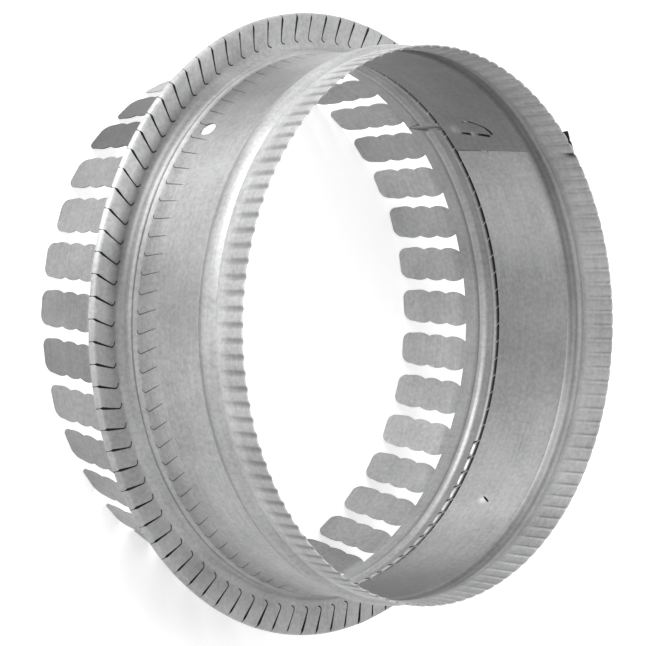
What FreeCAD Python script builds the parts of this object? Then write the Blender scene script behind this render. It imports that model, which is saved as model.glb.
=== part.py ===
import FreeCAD, Part
import math
import os
import Sketcher

# Duct starting collar, 12 inch: a crimped and beaded sleeve, a ring of bendable tabs and a flange strip.
# Frame: millimetres, +Z along the collar's axis towards the crimped end, origin at the centre of the
# circle of tab tips.

SIZES = {
    # sheet metal
    "sheet_thickness": 0.6,
    "slip_clearance": 0.1,
    # heights along the axis: tab tips to tab roots, board space, flange face to crimped end
    "tab_length": 44.0,
    "board_space": 24.5,
    "sleeve_reach": 89.0,
    # sleeve
    "sleeve_radius": 152.4,
    "sleeve_rear_rise": 5.5,
    "crimp_length": 20.0,
    "crimp_count": 116,
    "crimp_phase": 1.28,
    "crimp_depth": 1.6,
    "crimp_valley_width": 2.6,
    "crest_flare": 1.4,
    "bead_width": 12.6,
    "bead_rise": 2.8,
    "bead_flank_share": 0.225,
    "bead_flank_rise": 0.73,
    "lap_first_crimp": 15,
    "lap_crimp_span": 4,
    # marks pressed or punched in the sleeve
    "damper_hole_diameter": 9.5,
    "damper_hole_angle": 144.0,
    "damper_hole_rise": 20.3,
    "lance_angle": -33.2,
    "lance_rise": 25.0,
    "lance_length": 12.5,
    "lance_lean": 2.4,
    "lance_gap": 0.6,
    "clinch_angle": 56.5,
    "clinch_rise": 30.0,
    "clinch_length": 27.0,
    "clinch_width": 13.0,
    "clinch_gap": 0.8,
    # tab ring
    "ring_slip_depth": 3.0,
    "ring_step": 1.0,
    "ring_ridge": 0.8,
    "ring_step_start": 2.0,
    "ring_step_end": 1.0,
    "ring_ridge_drop": 9.0,
    "ring_crease_drop": 13.5,
    "tab_count": 35,
    "tab_phase": 5.68,
    "tab_lean_in": 7.0,
    "tab_root_gap": 9.2,
    "tab_waist_gap": 9.2,
    "tab_tip_gap": 7.6,
    "tab_scallop_count": 3,
    "tab_scallop_rise": 1.4,
    "tab_scallop_flank_share": 0.28,
    "tab_scallop_flank_rise": 0.85,
    "tab_corner_radius": 5.6,
    "ring_seam_gap": 0.4,
    "ring_seam_tab": 5,
    # flange strip
    "neck_reach": 6.0,
    "face_width": 18.1,
    "lip_run": 1.7,
    "lip_drop": 3.0,
    "lip_lean": 30.0,
    "leg_rise": 26.5,
    "leg_joggle_start": 2.2,
    "leg_ridge_drop": 0.4,
    "leg_ridge_rise": 0.6,
    "leg_groove_drop": 2.2,
    "neck_start_drop": 3.8,
    "neck_start_rise": 0.9,
    "neck_fold": 45.0,
    "slit_count": 92,
    "face_slit_phase": 178.9,
    "face_slit_rim_width": 1.3,
    "face_slit_root_width": 0.6,
    "face_slit_setback": 3.6,
    "face_slit_lean": 16.5,
    "face_hook_reach": 2.4,
    # cutting tools start this far inside the sleeve, reach this deep and pass each edge by this much
    "cutter_setback": 14.0,
    "cutter_depth": 24.0,
    "cutter_overrun": 1.0,
}

doc = FreeCAD.newDocument("starting_collar")
sheet = doc.addObject("Spreadsheet::Sheet", "dims")
for row, (name, number) in enumerate(SIZES.items(), start=1):
    sheet.set("A%d" % row, name.replace("_", " "))
    sheet.set("B%d" % row, str(number))
    sheet.setAlias("B%d" % row, name)
doc.recompute()


def size(expression):
    return float(sheet.evalExpression(expression))


def role(body, name):
    return [plane for plane in body.Origin.OriginFeatures if plane.Role == name][0]


# A closed outline: each point is (x, y) or, before an arc, (x, y, radius, side), with side +1 where the
# arc to the next point bulges to the left of its chord and -1 where it bulges to the right.
def draw(sketch, points):
    spots = [FreeCAD.Vector(size(p[0]), size(p[1]), 0) for p in points]
    starts = []
    for i, point in enumerate(points):
        here, there = spots[i], spots[(i + 1) % len(points)]
        if len(point) == 2:
            sketch.addGeometry(Part.LineSegment(here, there), False)
            starts.append((1, 2))
            continue
        radius, side = size(point[2]), point[3]
        chord = there - here
        left = FreeCAD.Vector(-chord.y, chord.x, 0).normalize()
        drop = radius - math.sqrt(radius ** 2 - chord.Length ** 2 / 4)
        top = here + chord * 0.5 + left * (side * drop)
        ends = (here, there) if side < 0 else (there, here)
        sketch.addGeometry(Part.Arc(ends[0], top, ends[1]), False)
        starts.append((1, 2) if side < 0 else (2, 1))
    for i, point in enumerate(points):
        before = (i - 1) % len(points)
        sketch.addConstraint(Sketcher.Constraint("Coincident", before, starts[before][1], i, starts[i][0]))
    for i, point in enumerate(points):
        for kind, text, number in (("DistanceX", point[0], spots[i].x), ("DistanceY", point[1], spots[i].y)):
            index = sketch.addConstraint(Sketcher.Constraint(kind, -1, 1, i, starts[i][0], number))
            sketch.setExpression("Constraints[%d]" % index, text)
        if len(point) == 4:
            index = sketch.addConstraint(Sketcher.Constraint("Radius", i, size(point[2])))
            sketch.setExpression("Constraints[%d]" % index, point[2])


# A turn about the collar's axis for a sketch that stands along it.
def upright(angle):
    return FreeCAD.Placement(FreeCAD.Vector(), FreeCAD.Rotation(FreeCAD.Vector(0, 1, 0), angle))


def new_sketch(body, name, plane, points):
    sketch = body.newObject("Sketcher::SketchObject", name)
    sketch.AttachmentSupport = (role(body, plane), [""])
    sketch.MapMode = "FlatFace"
    draw(sketch, points)
    return sketch


# A sketch on a plane that stands at a distance from the axis, turned to an angle about it:
# x runs counterclockwise round the collar and y along the axis.
def tangent_sketch(body, name, angle, distance, points):
    sketch = new_sketch(body, name, "YZ_Plane", points)
    sketch.AttachmentOffset = FreeCAD.Placement(
        FreeCAD.Vector(0, 0, 1), FreeCAD.Rotation(FreeCAD.Vector(0, 1, 0), 1))
    sketch.setExpression(".AttachmentOffset.Rotation.Angle", angle)
    sketch.setExpression(".AttachmentOffset.Base.x", "(%s) * sin(%s)" % (distance, angle))
    sketch.setExpression(".AttachmentOffset.Base.z", "(%s) * cos(%s)" % (distance, angle))
    return sketch


def revolve(body, name, sketch):
    feature = body.newObject("PartDesign::Revolution", name)
    feature.Profile = sketch
    feature.ReferenceAxis = (sketch, ["V_Axis"])
    feature.Angle = 360
    feature.Refine = False
    sketch.Visibility = False
    body.Tip = feature
    return feature


def pocket(body, name, sketch, length, outward):
    doc.recompute()
    before = body.Shape.Volume
    feature = body.newObject("PartDesign::Pocket", name)
    feature.Profile = sketch
    feature.Reversed = outward
    feature.setExpression("Length", length)
    feature.Refine = False
    body.Tip = feature
    doc.recompute()
    if body.Shape.Volume > before - 0.01:
        raise RuntimeError(name + " cuts nothing")
    return feature


# Repeats a feature round the axis; change is +1 where it adds metal and -1 where it cuts.
def around(body, name, feature, count, change):
    before = body.Shape.Volume
    pattern = body.newObject("PartDesign::PolarPattern", name)
    pattern.Originals = [feature]
    pattern.Axis = (role(body, "Z_Axis"), [""])
    pattern.Angle = 360
    pattern.setExpression("Occurrences", count)
    pattern.Refine = False
    body.Tip = pattern
    doc.recompute()
    if (body.Shape.Volume - before) * change < 0.01:
        raise RuntimeError(name + " changes nothing")
    return pattern


# Heights and radii that several pieces share.
FACE_HEIGHT = "(dims.tab_length + dims.board_space)"
SLEEVE_LENGTH = "(dims.sleeve_reach - dims.sleeve_rear_rise)"
RING_INSIDE = "(dims.sleeve_radius + dims.slip_clearance)"
RING_OUTSIDE = "(dims.sleeve_radius + dims.slip_clearance + dims.sheet_thickness)"
NECK_RADIUS = "(dims.sleeve_radius + dims.neck_reach)"
RIM_RADIUS = "(%s + dims.face_width)" % NECK_RADIUS
LAP_START = "(dims.crimp_phase + (dims.lap_first_crimp + 0.5) * 360 / dims.crimp_count)"
LAP_ANGLE = "(dims.lap_crimp_span * 360 / dims.crimp_count)"
CUTTER_DISTANCE = "(dims.sleeve_radius - dims.cutter_setback)"


# Sleeve wall with its bead, from the rear edge at height 0 to the start of the crimps.
def make_sleeve_wall():
    body = doc.addObject("PartDesign::Body", "sleeve_wall")
    outside = "dims.sleeve_radius"
    inside = "(dims.sleeve_radius - dims.sheet_thickness)"
    lap_inside = "(dims.sleeve_radius - 2 * dims.sheet_thickness)"
    lap_outside = "(dims.sleeve_radius - dims.sheet_thickness / 2)"
    crimp_start = SLEEVE_LENGTH + " - dims.crimp_length"

    # The bead starts right below the crimps and is rolled in four flats, its crown in the middle.
    def wall_outline(outer, inner):
        flank, rise = "dims.bead_flank_share", "dims.bead_flank_rise"
        bead = [("1", "0"), ("(1 - %s)" % flank, rise), ("0.5", "1"), (flank, rise), ("0", "0")]
        steps = [(" - %s * dims.bead_width" % along, " + %s * dims.bead_rise" % out) for along, out in bead]
        outside = [(outer + out, crimp_start + along) for along, out in steps]
        inside = [(inner + out, crimp_start + along) for along, out in reversed(steps)]
        return [(inner, "0"), (outer, "0")] + outside + inside

    section = new_sketch(body, "wall_section", "XZ_Plane", wall_outline(outside, inside))
    revolve(body, "wall_turn", section)
    lap = new_sketch(body, "lap_section", "XZ_Plane", wall_outline(lap_outside, lap_inside))
    lap.AttachmentOffset = upright(1)
    lap.setExpression(".AttachmentOffset.Rotation.Angle", LAP_START)
    lap_turn = revolve(body, "lap_turn", lap)
    lap_turn.setExpression("Angle", LAP_ANGLE)
    doc.recompute()

    half = "(dims.damper_hole_diameter / 2)"
    hole_height = "(dims.damper_hole_rise - dims.sleeve_rear_rise)"
    hole = tangent_sketch(body, "damper_hole_outline", "dims.damper_hole_angle", CUTTER_DISTANCE, [
        ("-" + half, hole_height, half, 1),
        ("0", hole_height + " + " + half, half, 1),
        (half, hole_height, half, 1),
        ("0", hole_height + " - " + half, half, 1),
    ])
    pocket(body, "damper_hole", hole, "dims.cutter_depth", True)

    lance_height = "(dims.lance_rise - dims.sleeve_rear_rise)"
    lance = tangent_sketch(body, "lance_outline", "dims.lance_angle", CUTTER_DISTANCE, [
        ("-dims.lance_length / 2", lance_height + " - dims.lance_lean / 2"),
        ("dims.lance_length / 2", lance_height + " + dims.lance_lean / 2"),
        ("dims.lance_length / 2", lance_height + " + dims.lance_lean / 2 + dims.lance_gap"),
        ("-dims.lance_length / 2", lance_height + " - dims.lance_lean / 2 + dims.lance_gap"),
    ])
    pocket(body, "lance", lance, "dims.cutter_depth", True)

    # The clinch is eye shaped: two bowed slits that leave a bridge of metal at each end.
    clinch_height = "(dims.clinch_rise - dims.sleeve_rear_rise)"
    bow = "((dims.clinch_length ^ 2 + dims.clinch_width ^ 2) / (4 * dims.clinch_width))"
    for side in (-1, 1):
        low = "%d * dims.clinch_gap" % side
        slit = tangent_sketch(body, "clinch_outline", "dims.clinch_angle", CUTTER_DISTANCE, [
            (low, clinch_height + " - dims.clinch_length / 2", bow, side * -1),
            (low, clinch_height + " + dims.clinch_length / 2"),
            (low + " + %d * dims.clinch_gap" % side, clinch_height + " + dims.clinch_length / 2", bow, side),
            (low + " + %d * dims.clinch_gap" % side, clinch_height + " - dims.clinch_length / 2"),
        ])
        pocket(body, "clinch_slit", slit, "dims.cutter_depth", True)
    return body


# Crimped end: flat crests that flare a little, with valleys pressed deeper and wider towards the free
# edge. It stands on the wall's top edge, within its two circles; the sheet is doubled over the lap.
def make_crimp_band():
    count = int(size("crimp_count"))
    pitch = 360.0 / count
    thickness = size("sheet_thickness")
    margin = 0.02
    low_outside = size("sleeve_radius") - margin
    low_inside = (size("sleeve_radius") - thickness + margin) / math.cos(math.radians(pitch / 2))
    high_outside = size("sleeve_radius") + size("crest_flare")
    high_inside = high_outside - thickness
    dip = size("crimp_depth")
    half = math.degrees(size("crimp_valley_width") / 2 / high_outside)
    top = size(SLEEVE_LENGTH)
    start = top - size("crimp_length")
    first = int(size("lap_first_crimp")) + 1
    lap = range(first, first + int(size("lap_crimp_span")))
    faces = []

    def spot(angle, reach, height):
        turn = math.radians(angle)
        return FreeCAD.Vector(reach * math.cos(turn), reach * math.sin(turn), height)

    def flat(*corners):
        faces.append(Part.Face(Part.makePolygon(list(corners) + [corners[0]])))

    # One skin of the band, as facets between its bottom outline and its top outline.
    def skin(low, high, doubled):
        low_outline, high_outline = [], []
        for k in range(count):
            valley = size("crimp_phase") + k * pitch
            inset = thickness if k in doubled else 0.0
            inset_after = thickness if k + 1 in doubled else 0.0
            root = spot(valley, low - inset, start)
            left = spot(valley - half, high - inset, top)
            bottom = spot(valley, high - inset - dip, top)
            right = spot(valley + half, high - inset, top)
            next_root = spot(valley + pitch, low - inset_after, start)
            next_left = spot(valley + pitch - half, high - inset_after, top)
            flat(root, left, bottom)
            flat(root, bottom, right)
            low_outline.append(root)
            high_outline.extend([left, bottom, right])
            if inset == inset_after:
                flat(root, right, next_left)
                flat(root, next_left, next_root)
                continue
            middle = valley + pitch / 2
            low_steps = [spot(middle, low - each, start) for each in (inset, inset_after)]
            high_steps = [spot(middle, high - each, top) for each in (inset, inset_after)]
            flat(root, right, high_steps[0])
            flat(root, high_steps[0], low_steps[0])
            flat(low_steps[0], high_steps[0], high_steps[1])
            flat(low_steps[0], high_steps[1], low_steps[1])
            flat(low_steps[1], high_steps[1], next_left)
            flat(low_steps[1], next_left, next_root)
            low_outline.extend(low_steps)
            high_outline.extend(high_steps)
        return [Part.makePolygon(outline + [outline[0]]) for outline in (low_outline, high_outline)]

    outer = skin(low_outside, high_outside, ())
    inner = skin(low_inside, high_inside, lap)
    for outer_edge, inner_edge in zip(outer, inner):
        faces.append(Part.makeFace([outer_edge, inner_edge], "Part::FaceMakerBullseye"))
    shell = Part.makeShell(faces)
    shell.sewShape()
    band = doc.addObject("Part::Feature", "crimp_band")
    band.Shape = Part.makeSolid(shell)
    return band


def make_collar_sleeve():
    wall = make_sleeve_wall()
    band = make_crimp_band()
    sleeve = doc.addObject("Part::Fuse", "collar_sleeve")
    sleeve.Base = wall
    sleeve.Tool = band
    sleeve.Refine = False
    sleeve.Label = "collar_sleeve"
    sleeve.setExpression(".Placement.Base.z", FACE_HEIGHT + " + dims.sleeve_rear_rise")
    doc.recompute()
    return sleeve


# Tab ring: a band that slips over the sleeve's rear edge, with flat tabs folded a little inwards.
def make_tab_ring():
    body = doc.addObject("PartDesign::Body", "tab_ring")
    body.Label = "tab_ring"
    front = FACE_HEIGHT + " + dims.sleeve_rear_rise + dims.ring_slip_depth"
    band_inside = "(%s + dims.ring_step)" % RING_INSIDE
    path = [
        (RING_INSIDE, front),
        (RING_INSIDE, FACE_HEIGHT + " + dims.ring_step_start"),
        (band_inside, FACE_HEIGHT + " - dims.ring_step_end"),
        (band_inside + " - dims.ring_ridge", FACE_HEIGHT + " - dims.ring_ridge_drop"),
        (band_inside, FACE_HEIGHT + " - dims.ring_crease_drop"),
        (band_inside, "dims.tab_length"),
    ]
    outer = [(radius + " + dims.sheet_thickness", height) for radius, height in reversed(path)]
    section = new_sketch(body, "ring_section", "XZ_Plane", path + outer)
    revolve(body, "ring_turn", section)

    # One tab as a flat plate from the side. Its root stands on the band's edge, set in by half the depth of
    # the band's curve across a tab, and the plate is wide enough for the gaps to cut both its edges.
    pitch = "(360 / dims.tab_count)"
    root = "(%s - (%s * sin(%s / 2)) ^ 2 / (4 * %s))" % (band_inside, band_inside, pitch, band_inside)
    tip = "(%s - dims.tab_lean_in)" % root
    side = [
        (root, "dims.tab_length"),
        (tip, "0"),
        (tip + " + dims.sheet_thickness", "0"),
        (root + " + dims.sheet_thickness", "dims.tab_length"),
    ]
    profile = new_sketch(body, "tab_profile", "XZ_Plane", side)
    profile.AttachmentOffset = upright(1)
    profile.setExpression(".AttachmentOffset.Rotation.Angle", "dims.tab_phase + %s / 2" % pitch)
    plate = body.newObject("PartDesign::Pad", "tab_plate")
    plate.Profile = profile
    plate.Midplane = True
    plate.setExpression("Length", "2 * %s * sin(%s / 2) - dims.tab_tip_gap / 4" % (tip, pitch))
    plate.Refine = False
    body.Tip = plate
    doc.recompute()
    around(body, "tab_plates", plate, "dims.tab_count", 1)

    # Half of a gap from the tips up: a tab corner, then bowed scallops with a waist between each two.
    foot = "(dims.tab_tip_gap / 2)"
    corner = "dims.tab_corner_radius"
    halfway = "(1 - cos(45)) * " + corner
    flank, bowed = "dims.tab_scallop_flank_share", "dims.tab_scallop_flank_rise"
    scallop = "(dims.tab_length - %s) / dims.tab_scallop_count" % corner
    right = [(foot + " + " + corner, "-dims.cutter_overrun"), (foot + " + " + corner, "0")]
    right.append((foot + " + " + halfway, halfway))
    for i in range(int(size("tab_scallop_count"))):
        waist = foot if i == 0 else "(dims.tab_waist_gap / 2)"
        for share, bow in (("0", "0"), (flank, bowed), ("1 - " + flank, bowed)):
            climb = "%s + (%d + %s) * %s" % (corner, i, share, scallop)
            right.append(("%s - %s * dims.tab_scallop_rise" % (waist, bow), climb))
    right.append(("dims.tab_root_gap / 2", "dims.tab_length"))
    left = [("-(%s)" % across, height) for across, height in reversed(right)]
    gap = tangent_sketch(body, "tab_gap_outline", "dims.tab_phase", CUTTER_DISTANCE, right + left)
    cut = pocket(body, "tab_gap", gap, "dims.cutter_depth", True)
    around(body, "tab_gaps", cut, "dims.tab_count", -1)

    seam_angle = "(dims.tab_phase + dims.ring_seam_tab * 360 / dims.tab_count)"
    seam = tangent_sketch(body, "ring_seam_outline", seam_angle, CUTTER_DISTANCE, [
        ("-dims.ring_seam_gap / 2", "dims.tab_length - dims.cutter_overrun"),
        ("dims.ring_seam_gap / 2", "dims.tab_length - dims.cutter_overrun"),
        ("dims.ring_seam_gap / 2", front + " + dims.cutter_overrun"),
        ("-dims.ring_seam_gap / 2", front + " + dims.cutter_overrun"),
    ])
    pocket(body, "ring_seam", seam, "dims.cutter_depth", True)
    return body


# Flange strip: a leg round the sleeve, a joggle over the tab ring, a slit face and a lip turned back.
# Its own height 0 is the front of the face.
def make_flange_ring():
    body = doc.addObject("PartDesign::Body", "flange_ring")
    body.Label = "flange_ring"
    sheet_step = "dims.sheet_thickness"
    ring_front = "(dims.sleeve_rear_rise + dims.ring_slip_depth)"
    hump = "(%s + dims.slip_clearance)" % RING_OUTSIDE
    mitre = "dims.sheet_thickness * tan(dims.neck_fold / 2)"
    lip_inside = "%s - %s * cos(dims.lip_lean)" % (RIM_RADIUS, sheet_step)
    joggle_start = ring_front + " + dims.leg_joggle_start"
    ridge = (hump + " + dims.leg_ridge_rise", ring_front + " - dims.leg_ridge_drop")
    groove = (hump, ring_front + " - dims.leg_groove_drop")
    neck_start = (hump + " + dims.neck_start_rise", ring_front + " - dims.neck_start_drop")
    section = new_sketch(body, "strip_section", "XZ_Plane", [
        (RING_INSIDE, "dims.leg_rise"),
        (RING_INSIDE, joggle_start),
        ridge,
        groove,
        neck_start,
        (NECK_RADIUS + " - " + mitre, "-" + sheet_step),
        (RIM_RADIUS + " - dims.lip_run - " + mitre, "-" + sheet_step),
        (lip_inside, "-dims.lip_drop - %s * sin(dims.lip_lean)" % sheet_step),
        (RIM_RADIUS, "-dims.lip_drop"),
        (RIM_RADIUS + " - dims.lip_run", "0"),
        (NECK_RADIUS, "0"),
        (neck_start[0] + " + " + sheet_step, neck_start[1]),
        (groove[0] + " + " + sheet_step, groove[1]),
        (ridge[0] + " + " + sheet_step, ridge[1]),
        (RING_OUTSIDE, joggle_start),
        (RING_OUTSIDE, "dims.leg_rise"),
    ])
    revolve(body, "strip_turn", section)

    # Slit in the face: straight in from the rim, leaning, then hooked sideways.
    fold = "(%s - dims.lip_run - dims.sheet_thickness)" % RIM_RADIUS
    rim = "(%s + dims.cutter_overrun)" % RIM_RADIUS
    start = "(%s + dims.face_slit_setback)" % NECK_RADIUS
    hook = "dims.face_hook_reach"
    half = "dims.face_slit_root_width / 2"
    aside = "((%s - %s) * tan(dims.face_slit_lean))" % (fold, start)
    turn = "(dims.face_slit_rim_width / 2 / %s * 180 / pi)" % RIM_RADIUS
    face_slit = new_sketch(body, "face_slit_outline", "XY_Plane", [
        ("%s * cos(%s)" % (rim, turn), "-%s * sin(%s)" % (rim, turn)),
        ("%s * cos(%s)" % (fold, turn), "-%s * sin(%s)" % (fold, turn)),
        (start, aside + " - " + half),
        (start + " - " + hook, aside + " - " + hook),
        (start + " - " + hook + " - 2 * " + half, aside + " - " + hook),
        (start + " - " + half, aside + " + " + half),
        ("%s * cos(%s)" % (fold, turn), "%s * sin(%s)" % (fold, turn)),
        ("%s * cos(%s)" % (rim, turn), "%s * sin(%s)" % (rim, turn)),
    ])
    face_slit.AttachmentOffset = FreeCAD.Placement(
        FreeCAD.Vector(0, 0, 1), FreeCAD.Rotation(FreeCAD.Vector(0, 0, 1), 1))
    face_slit.setExpression(".AttachmentOffset.Rotation.Angle", "dims.face_slit_phase")
    depth = "dims.lip_drop + dims.sheet_thickness + dims.cutter_overrun"
    cut = pocket(body, "face_slit", face_slit, depth, False)
    around(body, "face_slits", cut, "dims.slit_count", -1)

    bore = "(dims.damper_hole_diameter / 2)"
    hole = tangent_sketch(body, "strip_hole_outline", "dims.damper_hole_angle", CUTTER_DISTANCE, [
        ("-" + bore, "dims.damper_hole_rise", bore, 1),
        ("0", "dims.damper_hole_rise + " + bore, bore, 1),
        (bore, "dims.damper_hole_rise", bore, 1),
        ("0", "dims.damper_hole_rise - " + bore, bore, 1),
    ])
    pocket(body, "strip_hole", hole, "dims.cutter_depth", True)
    body.setExpression(".Placement.Base.z", FACE_HEIGHT)
    doc.recompute()
    return body


pieces = [make_collar_sleeve(), make_tab_ring(), make_flange_ring()]
doc.recompute()

for item in doc.Objects:
    if "Invalid" in item.State or "Error" in item.State:
        raise RuntimeError(item.Name + " did not compute")
for piece in pieces:
    if piece.Shape.isNull() or not piece.Shape.isValid() or len(piece.Shape.Solids) != 1:
        raise RuntimeError(piece.Label + " is not one sound solid")

os.makedirs("parts", exist_ok=True)
for piece in pieces:
    piece.Shape.exportStep("parts/%s.step" % piece.Label)
    print(piece.Label, "volume %.1f" % piece.Shape.Volume, "faces %d" % len(piece.Shape.Faces))
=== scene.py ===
import math
import random

import bpy
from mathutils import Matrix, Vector
from mathutils.geometry import delaunay_2d_cdt


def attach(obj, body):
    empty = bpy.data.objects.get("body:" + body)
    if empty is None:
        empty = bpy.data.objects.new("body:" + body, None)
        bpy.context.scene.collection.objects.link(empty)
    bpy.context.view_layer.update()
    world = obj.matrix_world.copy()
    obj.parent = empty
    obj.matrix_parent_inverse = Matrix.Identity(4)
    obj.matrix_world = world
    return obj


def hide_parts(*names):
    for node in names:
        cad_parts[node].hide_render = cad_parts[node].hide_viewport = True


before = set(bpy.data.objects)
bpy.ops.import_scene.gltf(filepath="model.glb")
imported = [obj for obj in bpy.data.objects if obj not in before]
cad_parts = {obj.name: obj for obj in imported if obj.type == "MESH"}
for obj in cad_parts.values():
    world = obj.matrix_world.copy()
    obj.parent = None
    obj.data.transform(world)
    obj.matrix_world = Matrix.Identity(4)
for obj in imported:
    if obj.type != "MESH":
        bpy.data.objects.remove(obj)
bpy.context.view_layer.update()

mm = 0.001
weldReach = 0.00001      # in metres
sharpFold = 32           # in degrees


def smoothStep(t):
    t = max(0.0, min(1.0, t))
    return t * t * (3 - 2 * t)


def turnFrom(angle, middle):
    return (angle - middle + 180) % 360 - 180


def bell(distance, width, power=2):
    return math.exp(-(distance / width) ** power)


# Light and dark fields round the collar, each with its angle, width and change of tone
def fieldTone(fields, angle):
    tone = 1.0
    for middle, width, change in fields:
        tone *= 1 + change * bell(turnFrom(angle, middle), width)
    return tone


# Value at a height, read from a list of heights and values
def stepsAt(steps, height):
    for (z0, r0), (z1, r1) in zip(steps, steps[1:]):
        if z0 <= height <= z1:
            return r0 + (r1 - r0) * (height - z0) / (z1 - z0)
    return steps[-1][1] if height > steps[-1][0] else steps[0][1]


def insidePolygon(x, y, polygon):
    inside = False
    before = polygon[-1]
    for corner in polygon:
        if (corner[1] > y) != (before[1] > y):
            if x < (before[0] - corner[0]) * (y - corner[1]) / (before[1] - corner[1]) + corner[0]:
                inside = not inside
        before = corner
    return inside


def distanceToPolygon(x, y, polygon):
    nearest = 1e9
    ax, ay = polygon[-1]
    for bx, by in polygon:
        dx, dy = bx - ax, by - ay
        length = dx * dx + dy * dy
        t = 0 if length == 0 else max(0, min(1, ((x - ax) * dx + (y - ay) * dy) / length))
        nearest = min(nearest, math.hypot(x - ax - t * dx, y - ay - t * dy))
        ax, ay = bx, by
    return nearest


# A slit of changing width along a centre line, as a closed outline
def slitOutline(centreLine, widths):
    left, right = [], []
    for i, (x, y) in enumerate(centreLine):
        x0, y0 = centreLine[max(0, i - 1)]
        x1, y1 = centreLine[min(len(centreLine) - 1, i + 1)]
        length = math.hypot(x1 - x0, y1 - y0)
        nx, ny = -(y1 - y0) / length, (x1 - x0) / length
        left.append((x + nx * widths[i] / 2, y + ny * widths[i] / 2))
        right.append((x - nx * widths[i] / 2, y - ny * widths[i] / 2))
    return left + right[::-1]


# Triangles over a flat outline with holes; loose points only make the mesh finer
def fillFlat(border, loosePoints, holes, clearance):
    flat = [Vector(p) for p in border]
    edges = [(i, (i + 1) % len(border)) for i in range(len(border))]
    for hole in holes:
        first = len(flat)
        flat += [Vector(p) for p in hole]
        edges += [(first + i, first + (i + 1) % len(hole)) for i in range(len(hole))]
    for x, y in loosePoints:
        if all(distanceToPolygon(x, y, hole) > clearance for hole in holes):
            flat.append(Vector((x, y)))
    points, _, faces, _, _, _ = delaunay_2d_cdt(flat, edges, [], 0, 1e-5)
    kept, cut = [], []
    for face in faces:
        cx = sum(points[i][0] for i in face) / len(face)
        cy = sum(points[i][1] for i in face) / len(face)
        if insidePolygon(cx, cy, border):
            inHole = any(insidePolygon(cx, cy, hole) for hole in holes)
            (cut if inHole else kept).append(list(face))
    return [tuple(p) for p in points], kept, cut


# Sheet metal from its middle surface: weld, thicken, and keep the folds crisp
def sheetPiece(name, points, faces, thickness, tones=None, innerTones=None):
    used = sorted({i for face in faces for i in face})
    order = {old: new for new, old in enumerate(used)}
    points = [points[i] for i in used]
    faces = [[order[i] for i in face] for face in faces]
    innerTones = innerTones or tones
    mesh = bpy.data.meshes.new(name)
    mesh.from_pydata([Vector(p) * mm for p in points], [], faces)
    for label, values in (("tone", tones), ("innerTone", innerTones)):
        if values:
            attribute = mesh.attributes.new(label, "FLOAT", "POINT")
            attribute.data.foreach_set("value", [values[i] for i in used])
    piece = bpy.data.objects.new(name, mesh)
    bpy.context.scene.collection.objects.link(piece)
    weld = piece.modifiers.new("weld", "WELD")
    weld.merge_threshold = weldReach
    solidify = piece.modifiers.new("gauge", "SOLIDIFY")
    solidify.thickness = thickness * mm
    solidify.offset = 0
    thickened = piece.evaluated_get(bpy.context.evaluated_depsgraph_get())
    applied = bpy.data.meshes.new_from_object(thickened)
    piece.modifiers.clear()
    piece.data = applied
    bpy.data.meshes.remove(mesh)
    applied.name = name
    applied.shade_smooth()
    applied.set_sharp_from_angle(angle=math.radians(sharpFold))
    return piece


def polar(angle, radius, height):
    turn = math.radians(angle)
    return (radius * math.cos(turn), radius * math.sin(turn), height)


studio = {
    "cameraPlace": (-1.27456, -0.15933, 1.28224),
    "cameraTurn": (-0.68428, -46.64481, 8.09757),    # degrees about X, Y and Z
    "cameraReach": 50.0,
    "lens": 173.55,
    "floorSize": 6.0,
    "floorColour": (0.93, 0.93, 0.93),
    "floorRoughness": 0.9,
    "floorShine": 0.1,
    "floorGlow": 0.5,      # whitens the floor where it is seen
    "skyLevel": 0.45,      # light from the surroundings on plain surfaces
    "keyPower": 25.0,
    "keyPlace": (-1.15, 0.95, 0.75),
    "keySize": 0.9,
    "topPower": 9.0,
    "topPlace": (0.25, 0.2, 1.7),
    "topSize": 1.3,
    "lampAim": (0, 0, 0.08),
}


def areaLamp(name, place, size, power, target):
    lamp = bpy.data.lights.new(name, "AREA")
    lamp.shape = "SQUARE"
    lamp.size = size
    lamp.energy = power
    holder = bpy.data.objects.new(name, lamp)
    holder.location = place
    aim = Vector(target) - Vector(place)
    holder.rotation_euler = aim.to_track_quat("-Z", "Y").to_euler()
    bpy.context.scene.collection.objects.link(holder)


# Seen straight or in a mirror-like surface
def seenNode(nodes, links):
    path = nodes.new("ShaderNodeLightPath")
    first = nodes.new("ShaderNodeMath")
    first.operation = "MAXIMUM"
    links.new(path.outputs["Is Camera Ray"], first.inputs[0])
    links.new(path.outputs["Is Glossy Ray"], first.inputs[1])
    second = nodes.new("ShaderNodeMath")
    second.operation = "MAXIMUM"
    links.new(first.outputs[0], second.inputs[0])
    links.new(path.outputs["Is Transmission Ray"], second.inputs[1])
    return second.outputs[0]


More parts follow.
